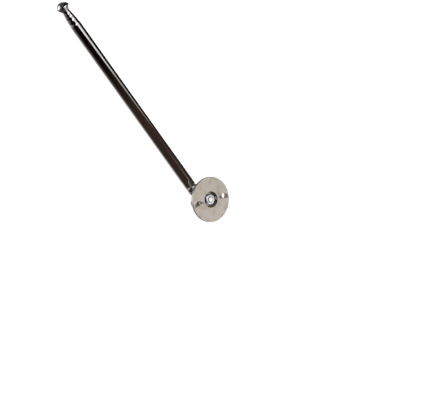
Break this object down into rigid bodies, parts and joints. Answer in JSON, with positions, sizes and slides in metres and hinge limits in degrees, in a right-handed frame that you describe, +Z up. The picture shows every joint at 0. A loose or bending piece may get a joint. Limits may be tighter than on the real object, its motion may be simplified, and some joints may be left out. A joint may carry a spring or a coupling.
{
  "type": "telescopic rod antenna",
  "caption": "Telescopic rod antenna with a rounded tip cap and stepped chromed tubes, on a tilting and swivelling foot that screws to the back of a set.",
  "frame": {"origin": "centre of the foot's mounting face, on the swivel's axis and midway between the two fixing holes", "axes": "+Z up, +Y out of the panel that carries the foot, +X to the right when the panel's other side is seen; the mast leans to -X"},
  "size_m": [0.0915, 0.0392, 0.1759],
  "materials": {
    "chromed_brass": "polished chrome plate on drawn brass",
    "nickelled_brass": "satin nickel plate on turned brass",
    "nickelled_zinc": "satin nickel plate on a zinc casting",
    "nickelled_steel": "nickel plate on turned steel",
    "zinc_plated_steel": "bright zinc plate",
    "phosphor_bronze": "rolled spring strip",
    "tinned_brass": "dull tin plate",
    "nylon": "moulded, natural"
  },
  "bodies": {
    "base": {"rosette": "nickelled_zinc", "swivel_bush": "nylon", "solder_lug": "tinned_brass"},
    "swivel": {"swivel_fork": "nickelled_brass", "wave_washer": "phosphor_bronze", "stem_washer": "zinc_plated_steel", "stem_nut": "zinc_plated_steel", "pivot_screw": "nickelled_steel", "pivot_spring_washer": "phosphor_bronze", "pivot_nut": "nickelled_steel", "friction_washers": "phosphor_bronze"},
    "section_1": {"knuckle_plug": "nickelled_brass", "tube_1": "chromed_brass"},
    "section_2": {"tube_2": "chromed_brass", "contact_springs_2": "phosphor_bronze"},
    "section_3": {"tube_3": "chromed_brass", "contact_springs_3": "phosphor_bronze"},
    "section_4": {"tube_4": "chromed_brass", "contact_springs_4": "phosphor_bronze"},
    "section_5": {"tube_5": "chromed_brass", "contact_springs_5": "phosphor_bronze"},
    "section_6": {"inner_rod": "chromed_brass", "contact_springs_6": "phosphor_bronze", "tip_cap": "chromed_brass"}
  },
  "joints": [
    {"name": "base_swivel", "type": "hinge", "parent": "base", "child": "swivel", "pos_m": [0, 0, 0], "axis": [0, 1, 0], "continuous": true},
    {"name": "mast_tilt", "type": "hinge", "parent": "swivel", "child": "section_1", "pos_m": [0, 0.01351, 0], "axis": [-0.9107, 0, -0.4131], "range_deg": [-7, 173]},
    {"name": "section_2_slide", "type": "slide", "parent": "section_1", "child": "section_2", "axis": [-0.41, 0.1219, 0.9039], "range_m": [0, 0.1335]},
    {"name": "section_3_slide", "type": "slide", "parent": "section_2", "child": "section_3", "axis": [-0.41, 0.1219, 0.9039], "range_m": [0, 0.1371]},
    {"name": "section_4_slide", "type": "slide", "parent": "section_3", "child": "section_4", "axis": [-0.41, 0.1219, 0.9039], "range_m": [0, 0.1401]},
    {"name": "section_5_slide", "type": "slide", "parent": "section_4", "child": "section_5", "axis": [-0.41, 0.1219, 0.9039], "range_m": [0, 0.1425]},
    {"name": "section_6_slide", "type": "slide", "parent": "section_5", "child": "section_6", "axis": [-0.41, 0.1219, 0.9039], "range_m": [0, 0.1461]}
  ]
}
